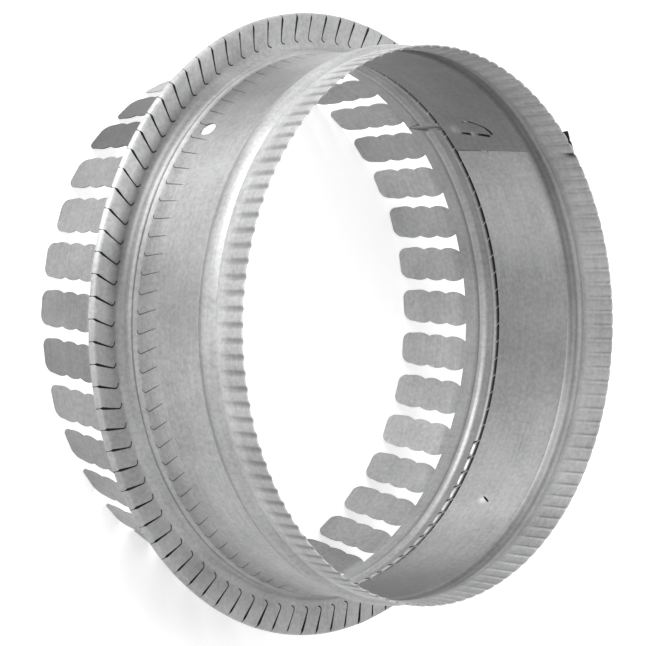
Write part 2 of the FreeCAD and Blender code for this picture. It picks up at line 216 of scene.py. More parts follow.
def makeStudio(look):
    scene = bpy.context.scene
    scene.view_settings.view_transform = "Standard"
    camera = bpy.data.cameras.new("photoCamera")
    camera.lens = look["lens"]
    camera.sensor_width = 36
    camera.clip_end = look["cameraReach"]
    holder = bpy.data.objects.new("photoCamera", camera)
    holder.location = look["cameraPlace"]
    holder.rotation_euler = [math.radians(a) for a in look["cameraTurn"]]
    scene.collection.objects.link(holder)
    scene.camera = holder

    half = look["floorSize"] / 2
    mesh = bpy.data.meshes.new("studioFloor")
    corners = [(-half, -half, 0), (half, -half, 0), (half, half, 0), (-half, half, 0)]
    mesh.from_pydata(corners, [], [(0, 1, 2, 3)])
    floor = bpy.data.objects.new("studioFloor", mesh)
    scene.collection.objects.link(floor)
    paper = bpy.data.materials.new("studioPaper")
    paper.use_nodes = True
    nodes, links = paper.node_tree.nodes, paper.node_tree.links
    shader = nodes["Principled BSDF"]
    shader.inputs["Base Color"].default_value = (*look["floorColour"], 1)
    shader.inputs["Roughness"].default_value = look["floorRoughness"]
    shader.inputs["Specular IOR Level"].default_value = look["floorShine"]
    shader.inputs["Emission Color"].default_value = (1, 1, 1, 1)
    glow = nodes.new("ShaderNodeMath")
    glow.operation = "MULTIPLY"
    glow.inputs[1].default_value = look["floorGlow"]
    links.new(seenNode(nodes, links), glow.inputs[0])
    links.new(glow.outputs[0], shader.inputs["Emission Strength"])
    mesh.materials.append(paper)

    world = bpy.data.worlds.new("studioSurroundings")
    world.use_nodes = True
    nodes, links = world.node_tree.nodes, world.node_tree.links
    sky = nodes["Background"]
    sky.inputs["Color"].default_value = (1, 1, 1, 1)
    level = nodes.new("ShaderNodeMapRange")
    level.inputs["To Min"].default_value = look["skyLevel"]
    level.inputs["To Max"].default_value = 1.0
    links.new(seenNode(nodes, links), level.inputs["Value"])
    links.new(level.outputs["Result"], sky.inputs["Strength"])
    scene.world = world

    areaLamp("keyPanel", look["keyPlace"], look["keySize"], look["keyPower"], look["lampAim"])
    areaLamp("topPanel", look["topPlace"], look["topSize"], look["topPower"], look["lampAim"])


makeStudio(studio)
print("studio ready")


galvanised = {
    "darkTone": (0.295, 0.296, 0.298),
    "lightTone": (0.5, 0.501, 0.503),
    "metalShare": 0.55,
    "roughness": (0.42, 0.58),
    "toneRange": (0.36, 0.64),       # noise values that give the dark and the light tone
    "mottle": (26.0, 5, 0.6),        # scale, detail, roughness: broad clouding of the zinc
    "grain": (420.0, 4, 0.65),       # fine zinc crystals
    "grainShare": 0.5,
    "streakStretch": (30, 30, 900),  # faint streaks along the rolled strip
    "streakDetail": 3,
    "streakShare": 0.18,
    "waveScale": 28,                 # slow waviness of thin sheet
    "waveHeight": 0.0002,
    "waveStrength": 0.6,
}


def noiseAt(nodes, links, place, scale, detail=None, roughness=None):
    noise = nodes.new("ShaderNodeTexNoise")
    noise.inputs["Scale"].default_value = scale
    if detail:
        noise.inputs["Detail"].default_value = detail
    if roughness:
        noise.inputs["Roughness"].default_value = roughness
    links.new(place, noise.inputs["Vector"])
    return noise.outputs["Fac"]


def galvanisedSteel(name, look):
    steel = bpy.data.materials.new(name)
    steel.use_nodes = True
    nodes, links = steel.node_tree.nodes, steel.node_tree.links
    shader = nodes["Principled BSDF"]
    shader.inputs["Metallic"].default_value = look["metalShare"]
    place = nodes.new("ShaderNodeTexCoord")

    mottle = noiseAt(nodes, links, place.outputs["Object"], *look["mottle"])
    grain = noiseAt(nodes, links, place.outputs["Object"], *look["grain"])
    stretch = nodes.new("ShaderNodeMapping")
    stretch.inputs["Scale"].default_value = look["streakStretch"]
    links.new(place.outputs["Object"], stretch.inputs["Vector"])
    streak = noiseAt(nodes, links, stretch.outputs[0], 1.0, look["streakDetail"])

    withGrain = nodes.new("ShaderNodeMix")
    withGrain.inputs[0].default_value = look["grainShare"]
    links.new(mottle, withGrain.inputs[2])
    links.new(grain, withGrain.inputs[3])
    blend = nodes.new("ShaderNodeMix")
    blend.inputs[0].default_value = look["streakShare"]
    links.new(withGrain.outputs[0], blend.inputs[2])
    links.new(streak, blend.inputs[3])

    ramp = nodes.new("ShaderNodeValToRGB")
    dark, light = ramp.color_ramp.elements
    dark.position, light.position = look["toneRange"]
    dark.color = (*look["darkTone"], 1)
    light.color = (*look["lightTone"], 1)
    links.new(blend.outputs[0], ramp.inputs[0])

    # Tones from the mesh: each tab and finger has its own, partly at random and partly painted light and
    # shade, and the sheet's side towards the axis has another, also with painted light and shade
    shape = nodes.new("ShaderNodeNewGeometry")
    facing = nodes.new("ShaderNodeVectorMath")
    facing.operation = "DOT_PRODUCT"
    links.new(shape.outputs["Normal"], facing.inputs[0])
    links.new(shape.outputs["Position"], facing.inputs[1])
    outward = nodes.new("ShaderNodeMath")
    outward.operation = "GREATER_THAN"
    outward.inputs[1].default_value = 0
    links.new(facing.outputs["Value"], outward.inputs[0])
    outerTone = nodes.new("ShaderNodeAttribute")
    outerTone.attribute_name = "tone"
    innerTone = nodes.new("ShaderNodeAttribute")
    innerTone.attribute_name = "innerTone"
    tone = nodes.new("ShaderNodeMix")
    links.new(outward.outputs[0], tone.inputs[0])
    links.new(innerTone.outputs["Fac"], tone.inputs[2])
    links.new(outerTone.outputs["Fac"], tone.inputs[3])
    shade = nodes.new("ShaderNodeMix")             # its sockets 6 and 7 are the two colours
    shade.data_type = "RGBA"
    shade.blend_type = "MULTIPLY"
    shade.inputs[0].default_value = 1
    links.new(ramp.outputs[0], shade.inputs[6])
    links.new(tone.outputs[0], shade.inputs[7])
    links.new(shade.outputs[2], shader.inputs["Base Color"])

    rough = nodes.new("ShaderNodeMapRange")
    rough.inputs["To Min"].default_value = look["roughness"][0]
    rough.inputs["To Max"].default_value = look["roughness"][1]
    links.new(blend.outputs[0], rough.inputs["Value"])
    links.new(rough.outputs["Result"], shader.inputs["Roughness"])

    bump = nodes.new("ShaderNodeBump")
    bump.inputs["Strength"].default_value = look["waveStrength"]
    bump.inputs["Distance"].default_value = look["waveHeight"]
    links.new(noiseAt(nodes, links, place.outputs["Object"], look["waveScale"]), bump.inputs["Height"])
    links.new(bump.outputs["Normal"], shader.inputs["Normal"])
    return steel


shadowFill = {
    "roughness": 0.7,
    "shine": 0.15,
    "fillMottleScale": 180,
    "darkest": (0.6, 0.6, 0.6),      # shares of the tone, red to blue
    "lightest": (1.5, 1.45, 1.4),
}


# Dark sheets under slits, cuts and gaps, mottled by noise: painted shadow
def shadowSheet(name, tone, look):
    dark = bpy.data.materials.new(name)
    dark.use_nodes = True
    nodes, links = dark.node_tree.nodes, dark.node_tree.links
    shader = nodes["Principled BSDF"]
    shader.inputs["Roughness"].default_value = look["roughness"]
    shader.inputs["Specular IOR Level"].default_value = look["shine"]
    place = nodes.new("ShaderNodeTexCoord")
    ramp = nodes.new("ShaderNodeValToRGB")
    for element, shares in zip(ramp.color_ramp.elements, (look["darkest"], look["lightest"])):
        element.color = (*[tone * share for share in shares], 1)
    links.new(noiseAt(nodes, links, place.outputs["Object"], look["fillMottleScale"]), ramp.inputs[0])
    links.new(ramp.outputs[0], shader.inputs["Base Color"])
    return dark


# painted shadow: nearly black in open slits, cuts and gaps, dark grey in the leg's closed slits
slitShadow = shadowSheet("slitShadow", 0.012, shadowFill)
legSlitShadow = shadowSheet("legSlitShadow", 0.09, shadowFill)
sleeveSteel = galvanisedSteel("sleeveSteel", galvanised)
tabSteel = galvanisedSteel("tabSteel", {**galvanised, "mottle": (30.0, 5, 0.6)})
flangeSteel = galvanisedSteel("flangeSteel", {**galvanised, "roughness": (0.4, 0.54)})


# Lengths in mm and angles in degrees; distances are measured from the free end
sleeve = {
    "freeEnd": 157.5,
    "rearEdge": 72.3,
    "radius": 152.1,
    "gauge": 0.6,
    "floorGauge": 0.2,
    "crimpCount": 116,
    "crimpPhase": 1.28,
    "crimpEnd": 19.5,
    "crimpEase": 3.5,               # the crimps run out over this length
    "crimpDepth": 0.8,
    "crimpPress": (0.55, 0.45),     # share of the depth all along, and what the free end adds
    "crimpShares": (0.82, 0.18),    # sharp valley, wide hollow
    "valleyHalfWidth": 0.45,
    "deepCrimps": (95, 32, 0.45),   # angle, width, added depth
    "flare": 1.4,
    "beadStart": 20.4,
    "beadEnd": 33.0,
    "beadHeight": 2.8,
    "beadFullness": 0.85,           # 1 is a sine, less is fuller
    "lapStartFront": 48.0,
    "lapStartRear": 50.6,
    "lapEnd": 422.2,
    "lapEndCrimped": 412.9,
    "lapNotch": (19.5, 5, 411),     # distance, over how far, from which angle on
    "lapStep": (0.68, 2.4, 2.2),    # rise, degrees before the overlap, over how many degrees
    "lapLift": (3.0, 19, 1.3),      # rise at the lifted corner, how far back it reaches, curve
    "lapGap": (46.6, 6.2, 0.8, 0.3),          # angle, reach round, distance, inset: black gap under the corner
    "hole": (144.1, 69.0, 4.75),              # angle, distance, radius
    "lance": (325.1, 60.9, 2.25, 3.2, 1.3),   # angle, distance, reach round, reach along, gap
    "clinch": (56.5, 59.0),                   # angle, distance; its slits in mm round and along from there
    "clinchBow": [(5.8, 8.2, 0.8), (6.6, 4.4, 1.4), (5.5, 1.5, 1.1), (3.3, -2.2, 0.7), (0.7, -5.6, 1.4),
                  (-2.9, -7.4, 2.1), (-5.6, -8.0, 1.7)],
    "clinchFoot": [[(-2.9, 14.0, 1.3), (-3.8, 9.0, 2.0), (-4.2, 7.4, 1.6)],
                   [(-4.7, 2.6, 1.5), (-5.2, 0.0, 2.1), (-6.4, -5.6, 1.9)]],
    # Dents, made lighter round their middles inside: angle, distance, reach, depth
    "dents": [(56.6, 76.0, 3.0, 0.9), (54.9, 64.2, 1.9, 0.9), (324.9, 63.4, 2.6, 0.7)],
    "dentSteepness": 1.6,
    # Tones, mostly painted light and shade: what is added to 1, mostly with an angle or distance and a width
    # before it
    "outerFields": [(181, 15, -0.3), (130, 16, -0.48)],
    "innerFields": [(37, 16, 0.24), (3, 20, -0.27), (318, 22, 0.34), (280, 34, -0.64)],
    "fieldsFrom": (31, 4),          # the fields begin behind the bead, over this length
    "lapShade": (85, 60, -0.42),    # painted shade inside, from the lap on
    # Painted shade and highlights at the bead and in the crimps: lines inside, bands outside, darker crimp
    # hollows outside, light on the crimps inside
    "beadLines": [(31.3, 1.7, -0.6), (28.0, 1.6, -0.42), (24.0, 1.5, 0.12), (19.6, 1.3, -0.22)],
    "outerBands": [(29, 4, -0.14), (17, 4, 0.16)],
    "crimpLines": [(0.09, 0.07, -0.42), (-0.06, 0.06, 0.34)],     # painted shade and highlight lines in the crimps: places and widths
    "crimpHollow": (0.1, 0.18, -0.44),
    "crimpLight": (62, 30, 0.4),
    "dentLightening": 0.9,
    "cornerShadow": (406, 2, 4, 4, -0.94),    # angle, over, distance, over, change: under the lifted corner
    "edgeHighlight": (0.5, 1.35),         # painted highlight along the free edge: distance, tone
}


# How far a place lies from a dent's middle, squared, with the dent's reach as 1
def fromDent(part, dent, u, s):
    angle, distance, reach, _ = dent
    aside = math.radians(turnFrom(u, angle)) * part["radius"]
    return (aside / reach) ** 2 + ((s - distance) / reach) ** 2


# Where a place lies between two crests, from -0.5 to 0.5 with the valley at 0
def besideValley(part, u):
    pitch = 360 / part["crimpCount"]
    return ((u - part["crimpPhase"]) / pitch + 0.5) % 1 - 0.5


def sleeveRadius(part, u, s):
    radius = part["radius"]
    pitch = 360 / part["crimpCount"]
    if s < part["beadStart"]:
        radius += part["flare"] * (1 - s / part["beadStart"])
    along = (s - part["beadStart"]) / (part["beadEnd"] - part["beadStart"])
    if 0 < along < 1:
        radius += part["beadHeight"] * math.sin(math.pi * along) ** part["beadFullness"]
    if s < part["crimpEnd"]:
        aside = besideValley(part, u)
        fade = smoothStep((part["crimpEnd"] - s) / part["crimpEase"])
        narrow = bell(aside * pitch, part["valleyHalfWidth"])
        wide = 0.5 + 0.5 * math.cos(2 * math.pi * aside)
        allAlong, atEnd = part["crimpPress"]
        press = (allAlong + atEnd * (1 - s / part["crimpEnd"])) * fade
        deeper = fieldTone([part["deepCrimps"]], u)
        sharp, hollow = part["crimpShares"]
        radius -= part["crimpDepth"] * deeper * press * (sharp * narrow + hollow * wide)
    rise, before, over = part["lapStep"]
    overlap = part["lapStartRear"] + 360
    radius += rise * smoothStep((u - overlap + before) / over)
    rise, reach, curve = part["lapLift"]
    lift = (u - overlap + before) / (part["lapEndCrimped"] - overlap + before)
    if lift > 0 and s < reach:
        radius += rise * min(1, lift) ** curve * (1 - s / reach)
    for dent in part["dents"]:
        depth = dent[3]
        radius -= depth * math.exp(-fromDent(part, dent, u, s) * part["dentSteepness"])
    return radius


# Painted light and shade, outside and inside: broad fields round the collar, lines at the bead and in the
# crimps, a shadow under the lifted corner and a highlight on the free edge; lighter round the dents
def sleeveTones(part, u, s):
    front, over = part["fieldsFrom"]
    wall = smoothStep((s - front) / over)
    outer = 1 + (fieldTone(part["outerFields"], u) - 1) * wall
    inner = 1 + (fieldTone(part["innerFields"], u) - 1) * wall
    angle, over, change = part["lapShade"]
    inner *= 1 + change * (1 - smoothStep((u - angle) / over)) * wall
    for distance, width, change in part["beadLines"]:
        inner *= 1 + change * bell(s - distance, width)
    outer *= 1 + sum(change * bell(s - distance, width, 4) for distance, width, change in part["outerBands"])
    if s < part["crimpEnd"]:
        aside = besideValley(part, u)
        fade = 1 - (s / part["crimpEnd"]) ** 2
        crisp = sum(change * bell(aside - place, width) for place, width, change in part["crimpLines"])
        place, over, change = part["crimpHollow"]
        soft = change * (1 - smoothStep((abs(aside) - place) / over))
        inner *= (1 + fade * crisp) * (1 + fade * (fieldTone([part["crimpLight"]], u) - 1))
        outer *= 1 + fade * soft
    for dent in part["dents"]:
        inner *= 1 + part["dentLightening"] * math.exp(-fromDent(part, dent, u, s))
    angle, over, distance, overDistance, change = part["cornerShadow"]
    inner *= 1 + change * smoothStep((u - angle) / over) * (1 - smoothStep((s - distance) / overDistance))
    edge, light = part["edgeHighlight"]
    rim = light if s < edge else 1.0
    return outer * rim, inner * rim


def makeSleeve(part):
    pitch = 360 / part["crimpCount"]
    start, end = part["lapStartFront"], part["lapEnd"]

    # Mesh columns: fine at the lap's inner end, then eight to each crimp
    lapStep, lapColumns = 0.2, 20
    besideCrimp = (-0.85, -0.5, -0.25, 0, 0.25, 0.5, 0.85, pitch / 2)
    columns = [start + lapStep * i for i in range(lapColumns)]
    k = 0
    while part["crimpPhase"] + k * pitch < columns[-1] + lapStep:
        k += 1
    while part["crimpPhase"] + (k - 1) * pitch < end:
        centre = part["crimpPhase"] + k * pitch
        columns += [centre + step for step in besideCrimp]
        k += 1
    closest = 0.15
    columns = [c for c in columns if c < end - closest] + [end]

    # Mesh rows, back from the free end: crimps, bead, wall
    beadRows = 12
    rows = [0.1, 1, 3, 6, 9, 12, 15, 17.2, 18.4, part["crimpEnd"], part["beadStart"]]
    span = part["beadEnd"] - part["beadStart"]
    rows += [part["beadStart"] + span * i / beadRows for i in range(1, beadRows + 1)]
    rows += [34, 36, 40, 46, 52, 58, 64, 70, 76, 80, part["freeEnd"] - part["rearEdge"]]

    # The strip's two ends aren't cut quite square; its outer end is notched back at the crimps
    slantReach = 3
    notchEnd, notchOver, notchFrom = part["lapNotch"]

    def shifted(c, s):
        begin = start + (part["lapStartRear"] - start) * s / rows[-1]
        u = c + (begin - start) * max(0, 1 - (c - start) / slantReach) ** 2
        notch = 1 - smoothStep((s - notchEnd) / notchOver)
        finish = end + (part["lapEndCrimped"] - end) * notch
        if c > notchFrom:
            u = notchFrom + (c - notchFrom) * (finish - notchFrom) / (end - notchFrom)
        return u

    # The cuts, with the blocks of the mesh that are filled anew round them
    mmPerDegree = math.radians(1) * part["radius"]
    angle, distance, radius = part["hole"]
    holeSides = 28
    turns = [2 * math.pi * i / holeSides for i in range(holeSides)]
    hole = [(angle + radius * math.cos(t) / mmPerDegree, distance + radius * math.sin(t)) for t in turns]
    angle, distance, across, along, gap = part["lance"]
    line = [(angle * mmPerDegree + across * t, distance + along * t) for t in (-1, -0.3, 0.4, 1)]
    lance = [(x / mmPerDegree, y) for x, y in slitOutline(line, [0.6, gap, gap, 0.5])]
    angle, distance = part["clinch"]
    eyes = []
    for turn in (0, 360):
        for slit in [part["clinchBow"]] + part["clinchFoot"]:
            outline = slitOutline([(x, y) for x, y, _ in slit], [width for _, _, width in slit])
            eyes.append([(angle + turn + x / mmPerDegree, distance + y) for x, y in outline])
    blocks = [(141, 147.3, 58, 76, [hole]), (322, 331, 58, 70, [lance]),      # angles, rows, cuts
              (52.6, 61, 40, 80, eyes[:3]), (412.6, 421, 40, 76, eyes[3:])]
    looseTurn, looseRow = 0.42, 1.15                     # spacing of the loose points in a block
    turnInsets, rowInsets = (0.35, 0.2), (0.9, 0.5)      # their least distance from its borders

    points, faces, floors = [], [], []
    for c in columns:
        for s in rows:
            points.append((c, s))
    covered = set()
    for low, high, front, rear, holes in blocks:
        i0 = min(range(len(columns)), key=lambda i: abs(columns[i] - low))
        i1 = min(range(len(columns)), key=lambda i: abs(columns[i] - high))
        j0, j1 = rows.index(front), rows.index(rear)
        covered |= {(i, j) for i in range(i0, i1) for j in range(j0, j1)}
        border = [(columns[i], rows[j0]) for i in range(i0, i1)]
        border += [(columns[i1], rows[j]) for j in range(j0, j1)]
        border += [(columns[i], rows[j1]) for i in range(i1, i0, -1)]
        border += [(columns[i0], rows[j]) for j in range(j1, j0, -1)]
        toFlat = [(c * mmPerDegree, s) for c, s in border]
        loose = []
        s = rows[j0] + rowInsets[0]
        while s < rows[j1] - rowInsets[1]:
            c = columns[i0] + turnInsets[0]
            while c < columns[i1] - turnInsets[1]:
                loose.append((c * mmPerDegree, s))
                c += looseTurn
            s += looseRow
        flatHoles = [[(x * mmPerDegree, y) for x, y in outline] for outline in holes]
        found, triangles, inHoles = fillFlat(toFlat, loose, flatHoles, 0.35)
        first = len(points)
        points += [(x / mmPerDegree, y) for x, y in found]
        faces += [[first + n for n in face] for face in triangles]
        if holes[0] is not hole:      # the shaft's hole is open, the slits get dark floors as painted shadow
            floors += [[first + n for n in face] for face in inHoles]
    count = len(rows)
    for i in range(len(columns) - 1):
        for j in range(count - 1):
            if (i, j) not in covered:
                a = i * count + j
                faces.append([a, a + count, a + count + 1, a + 1])

    solid, outerTones, innerTones = [], [], []
    for c, s in points:
        u = shifted(c, s)
        solid.append(polar(u, sleeveRadius(part, u, s), part["freeEnd"] - s))
        outer, inner = sleeveTones(part, u, s)
        outerTones.append(outer)
        innerTones.append(inner)

    # Black sheet under the lifted corner of the lap: painted shadow in the gap between the layers
    first = len(solid)
    gapSteps = 11
    angle, reach, distance, inset = part["lapGap"]
    for i in range(gapSteps + 1):
        u = angle + reach * i / gapSteps
        inner = sleeveRadius(part, u, distance) + inset
        outer = max(inner, sleeveRadius(part, u + 360, distance) - inset)
        solid += [polar(u, radius, part["freeEnd"] - distance) for radius in (inner, outer)]
    floors += [[first + 2 * i + n for n in (0, 1, 3, 2)] for i in range(gapSteps)]
    floor = sheetPiece("sleeveSlitFloors", solid, floors, part["floorGauge"])
    floor.data.materials.append(slitShadow)
    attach(floor, "root")
    piece = sheetPiece("crimpedSleeve", solid, faces, part["gauge"], outerTones, innerTones)
    piece.data.materials.append(sleeveSteel)
    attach(piece, "root")
    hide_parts("collar_sleeve")


makeSleeve(sleeve)
print("sleeve ready")


tabRing = {
    "tabCount": 35,
    "phase": 5.68,
    "rootHeight": 44.0,
    "tipRadius": 146.6,
    "gauge": 0.6,
    # Heights with radii, from the tabs' roots up to the front edge, and heights with tones: painted highlights
    # and shade on the band's ridges and creases, black at the front as painted shadow in the gap
    "band": [(44, 153.6), (48, 153.75), (52, 153.8), (54, 153.85), (54.8, 153.9), (55.4, 153.6),
             (56.2, 152.85), (57.1, 152.35), (58.1, 152.3), (59.0, 152.7), (59.6, 153.5), (60.3, 153.9),
             (61.8, 153.9), (63.6, 153.85), (65.6, 153.7), (66.8, 153.3), (67.5, 152.75), (68.3, 152.5),
             (69.0, 152.85), (69.4, 153.8), (70.0, 154.6), (71.0, 154.6), (72.2, 153.9), (73.2, 153.3),
             (74.4, 153.0), (76.5, 152.9)],
    "bandTones": [(44, 1), (53.6, 1), (54.2, 0.6), (55.3, 0.6), (56.2, 1), (57.8, 1.25), (60.4, 1.25),
                  (61.6, 0.8), (66.8, 0.8), (67.4, 1.2), (68.9, 1.2), (69.3, 0.1), (80, 0.1)],
    "tipShift": (-4.0, 3.6, -1.8),     # tips bent over: left ones to -X, all to +Y, more at the bottom
    "rootGap": 9.2,
    "waistGap": 9.2,
    "tipGap": 7.6,
    "scallopRise": 1.4,
    "cornerRadius": 5.8,
    "scallops": 3,
    "sideEnds": (0.8, 1.3),            # the scallops start above the corner and stop below the root
    "rootFlare": [(0.9, 0.1), (0.5, 0.5)],
    "seamTab": 5,
    "seamGap": 0.44,
    "drawnRadius": 150.0,              # the flat drawing is bent round at this radius
    "leanRange": 0.9,                  # mm at the tips, at random
    "twistRange": 0.5,
    "twistWidth": 9,
    "settle": 0.35,                    # mm inwards where the tab is flat
    "flatFrom": 0.25,                  # shares of the tab's length below its root
    "shadeFrom": 0.12,
    "shadeRange": (0.86, 1.14),
    # painted light and shade round the ring: angle, width, change; the two tabs near 140 degrees are made much
    # darker
    "shadeFields": [(10, 60, 0.3), (290, 24, -0.36), (140, 12, -0.84), (190, 26, -0.38)],
    "seed": 11,
}


# Half of a gap, from the open end up: a rounded tab corner, three bowed scallops, a flared root
def gapSide(part):
    corner = part["cornerRadius"]
    foot = part["tipGap"] / 2
    side = [(foot + corner, -1), (foot + corner, 0)]
    cornerTurn, cornerSteps = 15, 6
    for i in range(1, cornerSteps + 1):
        turn = math.radians(cornerTurn * i)
        side.append((foot + corner * (1 - math.sin(turn)), corner * (1 - math.cos(turn))))
    aboveCorner, belowRoot = part["sideEnds"]
    low, high = corner + aboveCorner, part["rootHeight"] - belowRoot
    bowSteps = 8
    for i in range(part["scallops"]):
        waist = part["waistGap"] / 2 if i else foot
        after = part["waistGap"] / 2
        for k in range(1 if i else 0, bowSteps + 1):
            t = k / bowSteps
            bow = part["scallopRise"] * (1 - (2 * t - 1) ** 2)
            if i == 0:
                bow *= t ** 0.4       # the lowest scallop runs gently out of the corner
            side.append((waist + (after - waist) * t - bow, low + (high - low) * (i + t) / part["scallops"]))
    side += [(part["rootGap"] / 2 + out, part["rootHeight"] + up) for out, up in part["rootFlare"]]
    return side


def makeTabRing(part):
    random.seed(part["seed"])
    pitch = 360 / part["tabCount"]
    mmPerDegree = math.radians(1) * part["drawnRadius"]
    half = pitch / 2 * mmPerDegree
    right = gapSide(part)
    gap = right + [(-x, y) for x, y in reversed(right)]
    slit = part["seamGap"] / 2
    seamFoot, seamHead = part["rootHeight"] - 1, 80
    seam = [(-slit, seamFoot), (slit, seamFoot), (slit, seamHead), (-slit, seamHead)]
    heights = [0, 1.5, 4, 8, 12, 16, 20, 24, 28, 32, 36, 39, 41.5, 43] + [z for z, _ in part["band"]]
    steps = [-half, -half + 3, -half + 6, -7.5, -5, -2.5, 0, 2.5, 5, 7.5, half - 6, half - 3, half]
    top = heights[-1]
    border = [(x, 0) for x in steps] + [(half, z) for z in heights[1:-1]]
    border += [(x, top) for x in reversed(steps)] + [(-half, z) for z in reversed(heights[1:-1])]
    loose = [(x, z) for x in steps[1:-1] for z in heights[1:-1]]
    plain = fillFlat(border, loose, [gap], 0.5)
    seamed = fillFlat(border, loose, [gap, seam], 0.4)

    most = part["leanRange"]
    leans = [random.uniform(-most, most) for _ in range(part["tabCount"])]
    most = part["twistRange"]
    twists = [random.uniform(-most, most) for _ in range(part["tabCount"])]
    shades = []
    for k in range(part["tabCount"]):
        middle = part["phase"] + (k + 0.5) * pitch
        shades.append(random.uniform(*part["shadeRange"]) * fieldTone(part["shadeFields"], middle))
    left, up, more = part["tipShift"]
    lowest = 0.1       # keeps the tips' corners off the floor
    points, faces, tones = [], [], []
    for k in range(part["tabCount"]):
        found, triangles, _ = seamed if k == part["seamTab"] else plain
        first = len(points)
        for x, z in found:
            tab = (k if x > 0 else k - 1) % part["tabCount"]
            offset = x - (half if x > 0 else -half)     # across the tab from its middle
            angle = part["phase"] + k * pitch + x / mmPerDegree
            if z >= part["rootHeight"]:
                radius = stepsAt(part["band"], z)
                tone = stepsAt(part["bandTones"], z)
            else:
                drop = (part["rootHeight"] - z) / part["rootHeight"]
                flat = smoothStep(drop / part["flatFrom"])
                rootRadius = part["band"][0][1]
                radius = rootRadius + (part["tipRadius"] - rootRadius) * drop
                radius += leans[tab] * drop + twists[tab] * drop * offset / part["twistWidth"]
                sag = radius * (1 - math.cos(math.radians(offset / mmPerDegree)))
                radius += flat * (sag - part["settle"])
                tone = 1 + (shades[tab] - 1) * smoothStep(drop / part["shadeFrom"])
            px, py, pz = polar(angle, radius, max(z, lowest))
            if z < part["rootHeight"]:
                middle = math.radians(part["phase"] + (k + (0.5 if x > 0 else -0.5)) * pitch)
                px += left * drop * (1 - math.cos(middle)) / 2
                py += drop * (up + more * math.sin(middle))
            points.append((px, py, pz))
            tones.append(tone)
        faces += [[first + n for n in face] for face in triangles]
    piece = sheetPiece("tabRing", points, faces, part["gauge"], tones)
    piece.data.materials.append(tabSteel)
    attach(piece, "root")
    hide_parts("tab_ring")


makeTabRing(tabRing)
print("tab ring ready")


flangeStrip = {
    "slitCount": 92,
    "gauge": 0.6,
    # Middle surface as radii and heights, from the leg's front edge to the turned-back rim
    "path": [(152.12, 95.0), (152.2, 92.5), (152.42, 90), (152.6, 87), (152.65, 83), (152.75, 79.4),
             (153.0, 78.4), (153.6, 77.4), (154.0, 76.6), (153.9, 75.8), (153.55, 75.1), (153.65, 74.4),
             (154.1, 73.6), (154.7, 72.7), (155.2, 71.6), (155.9, 70.4), (156.9, 69.3), (158.3, 68.5),
             (160.2, 68.2), (164, 68.2), (168, 68.2), (172, 68.2), (174.2, 68.2), (175.0, 67.95),
             (175.5, 67.4), (175.8, 66.8), (176.05, 66.1)],
    "faceSlit": 4.18,      # degrees in the first sector
    "legSlit": 5.62,
    "sectorStart": 2.35,
    "drawnRadius": 160,
    "rimGap": 1.5,
    "rootGap": 0.74,
    "legGap": 0.6,
    "slitRoot": 161.3,             # radii where the face's slits hook over and where the rim folds
    "rimFold": 174.6,
    "hookRadius": 2.9,
    "legCorner": 14.0,             # along the strip: where the leg's slits hook over
    "legLean": (3.3, 162),         # degrees, and the angle where they don't lean
    "faceLean": 1.4,
    "holeSides": 24,
    "floorGauge": 0.3,
    "tiltShare": 0.12,             # fingers tilt a little at random
    "droopRange": (-0.3, 0.05),
    "shadeRange": (0.93, 1.06),
    # Painted light and shade as tones: angle, width and what is added to 1
    "faceLight": (160, 22, 0.32),
    "creaseShade": (176, 16, -0.32),
    "crease": (4.5, 2.6),          # behind the leg's corner, width
    "neckShade": (162, 36, -0.58),
    "seed": 4,
}


